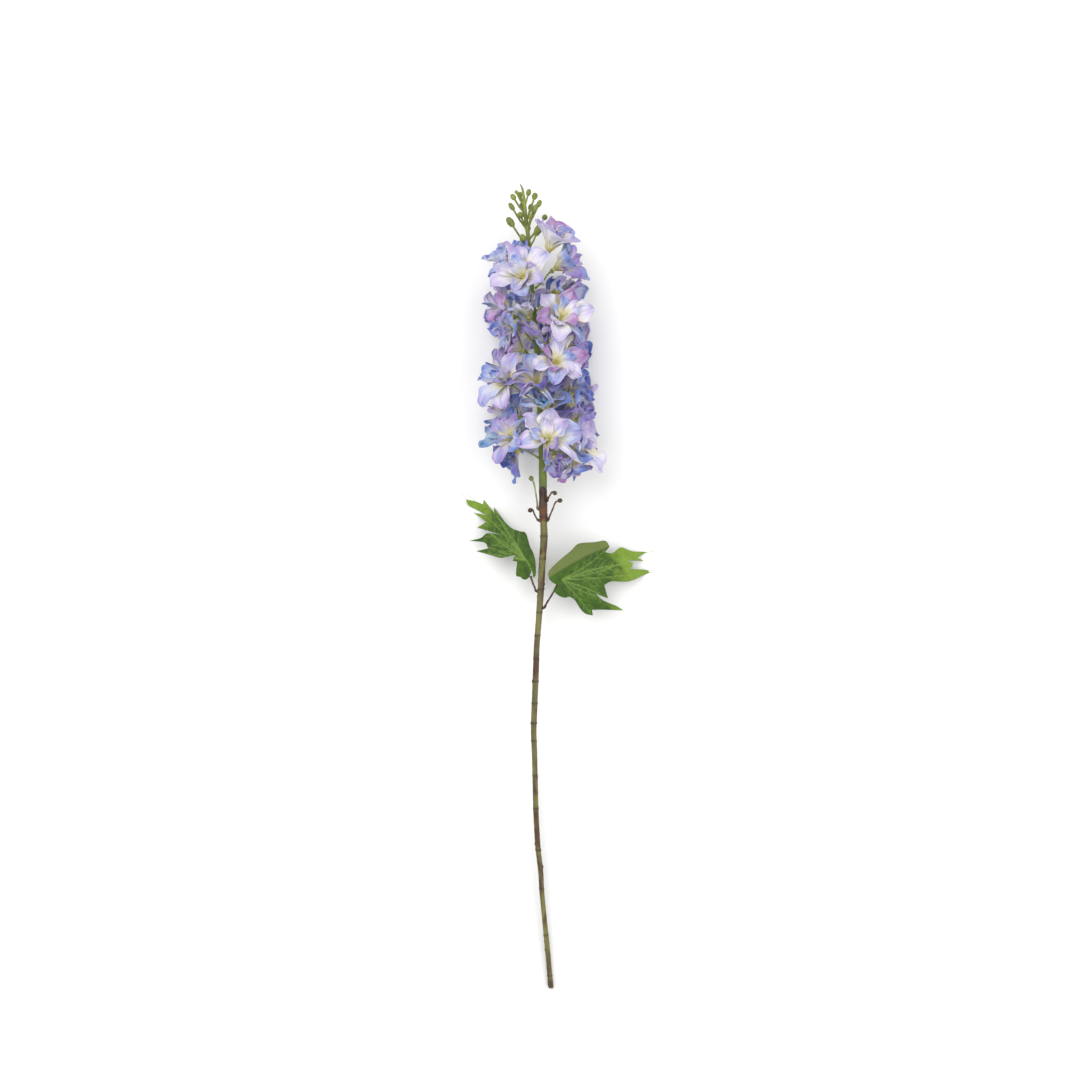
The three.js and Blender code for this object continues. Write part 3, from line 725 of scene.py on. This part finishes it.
def laid_down(grid, outward):
    """Bends the lines of a petal along the surface where they would go through it."""
    if grid[..., 2].min() > FLOOR:
        return grid
    made = grid.copy()
    made[0, :, 2] = np.maximum(made[0, :, 2], FLOOR)
    away = unit(np.array([outward[0], outward[1], 1e-9]))
    columns = np.abs(np.linspace(-1, 1, grid.shape[1]))
    for row in range(1, len(grid)):
        step = grid[row] - grid[row - 1]
        length = np.linalg.norm(step, axis=1)
        target = made[row - 1] + step
        low = FLOOR + 0.4 * MM * columns
        deep = target[:, 2] < low
        rise = np.where(deep, low - made[row - 1][:, 2], step[:, 2])
        flat = step[:, :2] + away[:2] * 0.15 * length[:, None]
        flat /= np.maximum(np.linalg.norm(flat, axis=1, keepdims=True), 1e-9)
        run = np.sqrt(np.maximum(length**2 - rise**2, 0))
        plan = made[row - 1][:, :2] + flat * run[:, None]
        bent = np.concatenate([plan, (made[row - 1][:, 2] + rise)[:, None]], 1)
        made[row] = np.where(deep[:, None], bent, target)
    return made


def coarse_tree(grids):
    points, faces = [], []
    for grid in grids:
        part = grid[::3, ::3]
        start = sum(len(p) for p in points)
        points.append(part.reshape(-1, 3))
        faces.extend(grid_faces(*part.shape[:2], start, False).tolist())
    if not points:
        return None
    return BVHTree.FromPolygons(np.concatenate(points).tolist(), faces)


def clashes(grid, trees):
    own = coarse_tree([grid])
    return sum(len(own.overlap(tree)) for tree in trees if tree is not None)


def petal_shape(floret, whorl, freedom, random):
    """The hand of one petal: sizes in metres, angles in degrees."""
    inner = whorl == "inner"
    usual = PLAIN_CUT if floret["number"] in STYLES else HIDDEN_CUT
    longer, wider, ruffled = CUTS.get(floret["number"], usual)
    share = random.uniform(0.66, 0.92) if inner else random.uniform(1.0, 1.2)
    length = floret["reach"] * longer * share
    furled = random.uniform() < freedom * (0.5 if inner else 0.35)
    return {
        "length": length,
        "width": length * wider * random.uniform(0.5, 0.62) * (0.5 if furled else 1.0),
        "start": floret["cup"] + (38 if inner else 22) + random.uniform(-8, 8),
        "end": floret["cup"] + (10 if inner else -16) + random.uniform(-14, 14) * (1 + freedom),
        "tip_curl": random.uniform(-60, 45) * (0.6 + freedom),
        "shoulder": random.uniform(0.66, 0.85),
        "blunt": random.uniform(1.5, 2.8) * (0.7 if furled else 1.0),
        "point": random.uniform(0.45, 0.8),
        "lopsided": random.uniform(-0.18, 0.18),
        "furl": random.uniform(1.8, 2.9) if furled else random.uniform(0.3, 1.3),
        "crease": random.uniform(0.4, 1.3) * MM,
        "waves": random.uniform(1.5, 3.2),
        "phase": random.uniform(0, 6.28),
        "odd": random.uniform(0.4, 1.8),
        "ruffle": random.uniform(1.3, 3.0) * MM * ruffled,
        "pleat": random.uniform(0.3, 0.75) * MM * ruffled,
        "notch": random.uniform(0.0, 3.6) * MM,
        "skew": random.uniform(-0.6, 0.6),
        "tilt": random.uniform(4, 18),
        "twist": random.uniform(-28, 28) * (0.5 + freedom),
        "bow": random.uniform(-4.5, 4.5) * MM,
    }


# What a petal may be given to clear its neighbours: degrees of lift, radians of turn, share of length.
TRIES = [(0, 0, 1), (10, 0, 1), (-12, 0, 1), (20, 0.1, 0.97), (22, -0.12, 0.94), (34, 0, 0.9)]
LIFT_COST = 0.04  # how many clashes a degree of lift counts for
FEW_CLASHES = 0.5


def whorl_of(floret, whorl, count, roll, tones, freedom, random, trees):
    """Builds one whorl, choosing for each petal the lift that clashes least with the flowers around."""
    joined = Joined()
    grids = []
    for petal in range(count):
        angle = roll + (petal + random.uniform(-0.1, 0.1)) / count * 2 * math.pi
        shape = petal_shape(floret, whorl, freedom, random)
        best = None
        for shift, turn, size in TRIES:
            tried = dict(shape, length=shape["length"] * size)
            tried.update(start=shape["start"] + shift, end=shape["end"] + shift)
            grid, u, v = petal_grid(floret, angle + turn, tried)
            cost = clashes(grid, trees) + abs(shift) * LIFT_COST
            if best is None or cost < best[0]:
                best = (cost, grid)
            if cost < FEW_CLASHES:
                break
        grid = best[1]
        grids.append(grid)
        body, tip, patch = (colour(text) for text in TONES[tones[petal % len(tones)]])
        place = np.zeros((*grid.shape[:2], 3))
        place[..., 0], place[..., 1], place[..., 2] = u[:, None], v[None, :], random.uniform()
        stripe = np.exp(-((v[None, :] / 0.22) ** 2)) * (1 - 0.6 * u[:, None])
        both = np.concatenate([place.reshape(-1, 3)] * 2)
        backs = np.concatenate([np.zeros(stripe.size), stripe.ravel() * 0.7])
        joined.add(
            thick_sheet,
            grid,
            PETAL_THICKNESS,
            petal_place=both,
            tone_body=body,
            tone_tip=tip,
            tone_patch=patch,
            stripe=backs,
        )
    return joined, grids


STAMEN_COUNT = 13
STAMEN_TURN = 2.4  # radians from one stamen to the next


def stamens(floret, random):
    """A loose tuft of pale yellow stamens round a small knob."""
    joined = Joined()
    facing = floret["facing"]
    first = unit(np.cross(facing, [0.2, 1.0, 0.35]))
    second = np.cross(facing, first)
    for at in range(STAMEN_COUNT):
        angle = at * STAMEN_TURN
        spread = 0.25 + 0.55 * math.sqrt(at / STAMEN_COUNT)
        lean = math.cos(angle) * first + math.sin(angle) * second
        length = random.uniform(5.0, 9.5) * MM
        tip = floret["heart"] + facing * length + lean * length * spread
        elbow = floret["heart"] + facing * length * 0.55 + lean * length * spread * 0.3
        route = curve_through([floret["heart"], elbow, tip], 6)
        joined.add(tube, route, [0.3 * MM, 0.26 * MM, 0.22 * MM, 0.2 * MM, 0.2 * MM, 0.18 * MM], 5)
        head = tip + np.outer(np.linspace(-1, 1, 5), facing + lean * spread) * 0.6 * MM
        joined.add(tube, head, np.array([0.12, 0.36, 0.45, 0.36, 0.1]) * MM, 7)
    knob = floret["heart"] + np.outer(np.linspace(0, 4.2, 6), facing) * MM
    joined.add(tube, knob, np.array([1.5, 2.1, 2.2, 1.9, 1.2, 0.3]) * MM, 12)
    return joined


PEDICEL_STATIONS = 22
PEDICEL_SIDES = 12


def pedicel(floret):
    """The flower stalk, widening into the calyx behind the petals."""
    joined = Joined()
    facing, base, heart = floret["facing"], floret["base"], floret["heart"]
    top = heart - facing * 1.2 * MM
    route = curve_through([floret["root"], floret["bend"], base, top], PEDICEL_STATIONS)
    share = np.linspace(0, 1, PEDICEL_STATIONS)
    radii = (0.82 + 0.12 * np.sin(share * 21)) * MM + 1.9 * MM * smooth(0.72, 1.0, share)
    radii[:2] += 0.35 * MM
    joined.add(tube, route, radii, PEDICEL_SIDES, dark=0.0)
    return joined


OUTER_PETALS = 6
HIDDEN_OUTER_PETALS = 8
INNER_PETALS = 5

florets = [read_floret(number) for number in range(1, FLORET_COUNT + 1)]
axis_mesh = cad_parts["spike_axis"].data
axis_points = [v.co for v in axis_mesh.vertices]
trees = [BVHTree.FromPolygons(axis_points, [list(p.vertices) for p in axis_mesh.polygons])]
for floret in sorted(florets, key=lambda f: -f["heart"][2]):
    number = floret["number"]
    random = np.random.default_rng(100 + number)
    tones, freedom = STYLES.get(number, HIDDEN_STYLES[number % len(HIDDEN_STYLES)])
    name = f"floret_{number:02d}"
    roll = random.uniform(0, 2 * math.pi)
    count = OUTER_PETALS if number in STYLES else HIDDEN_OUTER_PETALS
    outer, outer_grids = whorl_of(floret, "outer", count, roll, tones, freedom, random, trees)
    turned, back_tones = roll + math.pi / 6, tones[::-1]
    inner, inner_grids = whorl_of(
        floret, "inner", INNER_PETALS, turned, back_tones, freedom, random, trees
    )
    outer.piece(name + "_outer_petals", PETAL, "petal", (name,))
    inner.piece(name + "_inner_petals", PETAL, "petal")
    stamens(floret, random).piece(name + "_stamens", STAMEN, "stamen")
    pedicel(floret).piece(name + "_pedicel", PEDICEL, "axis")
    trees.append(coarse_tree(outer_grids + inner_grids))

# ------------------------------------------------------------------ leaves

LEAF_SPACING = 1.1 * MM
LEAF_FABRIC = 0.4 * MM


def leaf_outline(node):
    """The edge of a leaf's upper side, in order, as points with heights."""
    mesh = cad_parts[node].data
    made = bmesh.new()
    made.from_mesh(mesh)
    bmesh.ops.remove_doubles(made, verts=made.verts, dist=1e-6)
    made.verts.index_update()
    made.normal_update()
    top = [f for f in made.faces if f.normal.z > 0.01]
    edges = {}
    for face in top:
        corners = [v.index for v in face.verts]
        for a, b in zip(corners, corners[1:] + corners[:1]):
            edges[a, b] = edges.get((a, b), 0) + 1
    follow = {a: b for (a, b) in edges if (b, a) not in edges}
    places = {v.index: np.array(v.co) for v in made.verts}
    made.free()
    start = min(follow)
    order, at = [start], follow[start]
    while at != start and len(order) < len(follow):
        order.append(at)
        at = follow[at]
    return np.array([places[index] for index in order])


def curved_outline(outline, spacing):
    """Rounds the edge between its corners, and keeps sharp tips and notches."""
    count = len(outline)
    made = []
    for at in range(count):
        a, b, c, d = (outline[(at + k) % count] for k in (-1, 0, 1, 2))
        sharp_start = np.dot(unit(b - a), unit(c - b)) < 0.2
        sharp_end = np.dot(unit(c - b), unit(d - c)) < 0.2
        leave = (c - b) if sharp_start else (c - a) / 2
        arrive = (c - b) if sharp_end else (d - b) / 2
        steps = max(int(np.linalg.norm(c - b) / spacing), 2)
        for t in np.arange(steps) / steps:
            h1, h2 = 2 * t**3 - 3 * t**2 + 1, t**3 - 2 * t**2 + t
            h3, h4 = -2 * t**3 + 3 * t**2, t**3 - t**2
            made.append(h1 * b + h2 * leave + h3 * c + h4 * arrive)
    return np.array(made)


def inside(points, polygon):
    x, y = points[:, 0], points[:, 1]
    found = np.zeros(len(points), bool)
    for (x1, y1), (x2, y2) in zip(polygon, np.roll(polygon, -1, axis=0)):
        crosses = (y1 > y) != (y2 > y)
        with np.errstate(divide="ignore", invalid="ignore"):
            at = (x2 - x1) * (y - y1) / (y2 - y1) + x1
        found ^= crosses & (x < at)
    return found


def segment_distance(points, a, b):
    along = np.clip(((points - a) @ (b - a)) / max(np.dot(b - a, b - a), 1e-12), 0, 1)
    return np.linalg.norm(points - (a + along[:, None] * (b - a)), axis=1), along


def arch_of(corners):
    """The dome a leaf's edge lies on: its middle in plan, its height there, and how it falls away."""
    raised = corners[corners[:, 2] > 2 * MM]
    x, y, z = raised.T
    terms = np.column_stack([x * x + y * y, x, y, np.ones(len(x))])
    fall, by_x, by_y, level = np.linalg.lstsq(terms, z, rcond=None)[0]
    middle = np.array([-by_x, -by_y]) / (2 * fall)
    return middle, level - fall * (middle @ middle), fall


def leaf_tips(corners, heart):
    """The pointed corners that veins run to."""
    tips = []
    for a, b, c in zip(np.roll(corners, 1, axis=0), corners, np.roll(corners, -1, axis=0)):
        sharp = np.dot(unit(b - a), unit(c - b)) < 0.35
        convex = (b - a)[0] * (c - b)[1] - (b - a)[1] * (c - b)[0] > 0
        if sharp and convex and np.linalg.norm(b - heart) > 20 * MM:
            tips.append(b)
    return tips


# How far a side vein goes ahead along its vein, and how far across it.
BRANCH_AHEAD = 0.76
BRANCH_ACROSS = 0.65


def vein_fields(plan, heart, tips, random):
    """How much of a vein, and of the groove it lies in, each point of a leaf carries."""
    vein, groove = np.zeros(len(plan)), np.zeros(len(plan))
    for tip in tips:
        side = np.array([-(tip - heart)[1], (tip - heart)[0]])
        bow = heart + (tip - heart) * 0.5 + side * random.uniform(-0.06, 0.06)
        line = curve_through([heart, bow, tip], 14)
        for a, b in zip(line, line[1:]):
            gap, _ = segment_distance(plan, a, b)
            left = np.linalg.norm(tip - a) / np.linalg.norm(tip - heart)
            vein = np.maximum(vein, np.exp(-((gap / ((0.26 + 0.34 * left) * MM)) ** 2)))
            groove = np.maximum(groove, np.exp(-((gap / (1.6 * MM)) ** 2)))
        for part in range(3, 12, 2):
            for hand in (-1, 1):
                a = line[part]
                lead = unit(line[part + 1] - a)
                turned = np.array([-lead[1], lead[0]]) * hand * BRANCH_ACROSS + lead * BRANCH_AHEAD
                b = a + turned * np.linalg.norm(tip - heart) * 0.2 * (1.2 - part / 14)
                gap, _ = segment_distance(plan, a, b)
                vein = np.maximum(vein, 0.55 * np.exp(-((gap / (0.34 * MM)) ** 2)))
    return vein, groove


# The crease of the turned lobe, in shares of the leaf's box.
CREASE_START = 0.47
CREASE_RISE = 0.98
CREASE_BEND = 0.45
LOBE_LIFT = 2.2 * MM


def turned_lobe(plan, low, high):
    """Where the right leaf's upper edge is turned over and shows its underside."""
    across, up = ((plan - low) / (high - low)).T
    crease = CREASE_START + CREASE_RISE * across - CREASE_BEND * across**2
    return smooth(0.0, 0.035, up - crease) * smooth(0.72, 0.6, across)


def leaf_plan(edge, low, high, random):
    """Fills a leaf's edge with even triangles. Returns the points in plan and the triangles, face up."""
    border = edge[:, :2]
    count = len(edge)
    xs, ys = (np.arange(low[axis], high[axis], LEAF_SPACING) for axis in (0, 1))
    xs, ys = np.meshgrid(xs, ys)
    spots = np.stack([xs.ravel(), ys.ravel()], 1)
    spots = spots + random.uniform(-0.2, 0.2, (xs.size, 2)) * LEAF_SPACING
    spots = spots[inside(spots, border)]
    sides = zip(border, np.roll(border, -1, axis=0))
    gap = np.min([segment_distance(spots, a, b)[0] for a, b in sides], 0)
    spots = spots[gap > 0.45 * LEAF_SPACING]
    flat = [Vector(point) for point in np.concatenate([border, spots])]
    around = [(at, (at + 1) % count) for at in range(count)]
    made, _, faces, *_ = geometry.delaunay_2d_cdt(flat, around, [list(range(count))], 1, 1e-7)
    plan = np.array([list(point) for point in made])
    triangles = [list(face) for face in faces]
    area = sum(np.cross(plan[f[1]] - plan[f[0]], plan[f[2]] - plan[f[0]]) for f in triangles[:50])
    return plan, triangles if area > 0 else [face[::-1] for face in triangles]


def build_leaf(node, seed, lobe_turned):
    corners = leaf_outline(node)
    edge = curved_outline(corners, LEAF_SPACING)
    heart, top_height, fall = arch_of(corners)
    low, high = edge[:, :2].min(0), edge[:, :2].max(0)
    random = np.random.default_rng(seed)
    plan, triangles = leaf_plan(edge, low, high, random)
    reach = np.linalg.norm(plan - heart, axis=1)
    turn = np.arctan2(plan[:, 1] - heart[1], plan[:, 0] - heart[0])
    vein, groove = vein_fields(plan, heart, leaf_tips(corners[:, :2], heart), random)
    height = np.maximum(top_height + fall * reach**2, 0.8 * MM) - 0.5 * MM
    height = height + np.sin(turn * 9 + seed) * 1.5 * MM * smooth(8 * MM, 55 * MM, reach)
    height = height + 0.6 * MM * np.sin(reach * 260 + turn * 4) - groove * 0.9 * MM
    turned = turned_lobe(plan, low, high) if lobe_turned else np.zeros(len(plan))
    height = np.maximum(height + LOBE_LIFT * turned, 0.3 * MM)
    top = np.column_stack([plan, height + LEAF_FABRIC / 2])
    bottom = np.column_stack([plan, height - LEAF_FABRIC / 2])
    total = len(plan)
    sides = {(a, b) for face in triangles for a, b in zip(face, face[1:] + face[:1])}
    rim = [[b, a, a + total, b + total] for a, b in sorted(sides) if (b, a) not in sides]
    every = triangles + [[i + total for i in face[::-1]] for face in triangles] + rim
    spread = smooth(26 * MM, 82 * MM, reach)
    attributes = {
        "vein": np.concatenate([vein * 0.75, vein * 0.4]),
        "outer": np.concatenate([spread, spread]),
        "under": np.concatenate([turned, np.ones(total)]),
    }
    add_piece(node + "_blade", np.concatenate([top, bottom]), every, LEAF, (node,), attributes)
    frayed_threads(node, corners, heart, random)


def frayed_threads(node, corners, heart, random):
    """Loose threads of the fabric at the farthest lobe tips."""
    joined = Joined()
    distance = np.linalg.norm(corners[:, :2] - heart, axis=1)
    for tip in corners[np.argsort(distance)[-3:]]:
        away = unit(np.append(tip[:2] - heart, 0))
        side = np.array([-away[1], away[0], 0])
        length = random.uniform(11, 15) * MM
        start = tip - away * 1.5 * MM
        bend = start + away * length * 0.5 + side * random.uniform(-1.6, 1.6) * MM
        end = start + away * length + side * random.uniform(-3, 3) * MM
        route = curve_through([start, bend, end], 9)
        route[:, 2] = np.maximum(tip[2] - 0.4 * MM, 0.3 * MM)
        joined.add(tube, route, 0.16 * MM, 6, dark=0.0)
    joined.piece(node + "_threads", THREAD, "leaf")


build_leaf("leaf_left", 11, False)
build_leaf("leaf_right", 12, True)

# ------------------------------------------------------------------ floor, light and camera

VIEW_WIDTH = 1.134
LENS = 85.0
SENSOR = 36.0
VIEW_SHIFT = (-0.019, 0.0525)
SPIKE_LEVEL = 0.045


def stage():
    s = Shader("pale_floor", Roughness=0.9)
    shade = s.mix(s.ramp(s.noise(s.place(), 3.0), 0.3, 0.7), (0.86, 0.86, 0.86), (0.88, 0.88, 0.88))
    material = s.finish(Base_Color=shade)
    mesh = bpy.data.meshes.new("floor")
    mesh.from_pydata([(-6, -6, 0), (6, -6, 0), (6, 6, 0), (-6, 6, 0)], [], [(0, 1, 2, 3)])
    mesh.materials.append(material)
    floor = bpy.data.objects.new("floor", mesh)
    bpy.context.scene.collection.objects.link(floor)


def area_light(name, place, size, power):
    data = bpy.data.lights.new(name, "AREA")
    data.shape = "DISK"
    data.size = size
    data.energy = power
    light = bpy.data.objects.new(name, data)
    light.location = place
    light.rotation_euler = (-Vector(place)).to_track_quat("-Z", "Y").to_euler()
    bpy.context.scene.collection.objects.link(light)


def camera():
    data = bpy.data.cameras.new("camera")
    data.lens, data.sensor_width = LENS, SENSOR
    view = bpy.data.objects.new("camera", data)
    distance = VIEW_WIDTH * LENS / SENSOR
    view.location = (*VIEW_SHIFT, distance + SPIKE_LEVEL)
    bpy.context.scene.collection.objects.link(view)
    bpy.context.scene.camera = view


stage()
area_light("key", (-0.8, 0.8, 1.7), 1.8, 20)
area_light("fill", (1.2, -0.2, 1.5), 1.8, 12)
camera()
world = bpy.data.worlds.new("studio")
world.use_nodes = True
world.node_tree.nodes["Background"].inputs["Color"].default_value = (1, 1, 1, 1)
world.node_tree.nodes["Background"].inputs["Strength"].default_value = 0.86
bpy.context.scene.world = world
bpy.context.scene.view_settings.view_transform = "Standard"
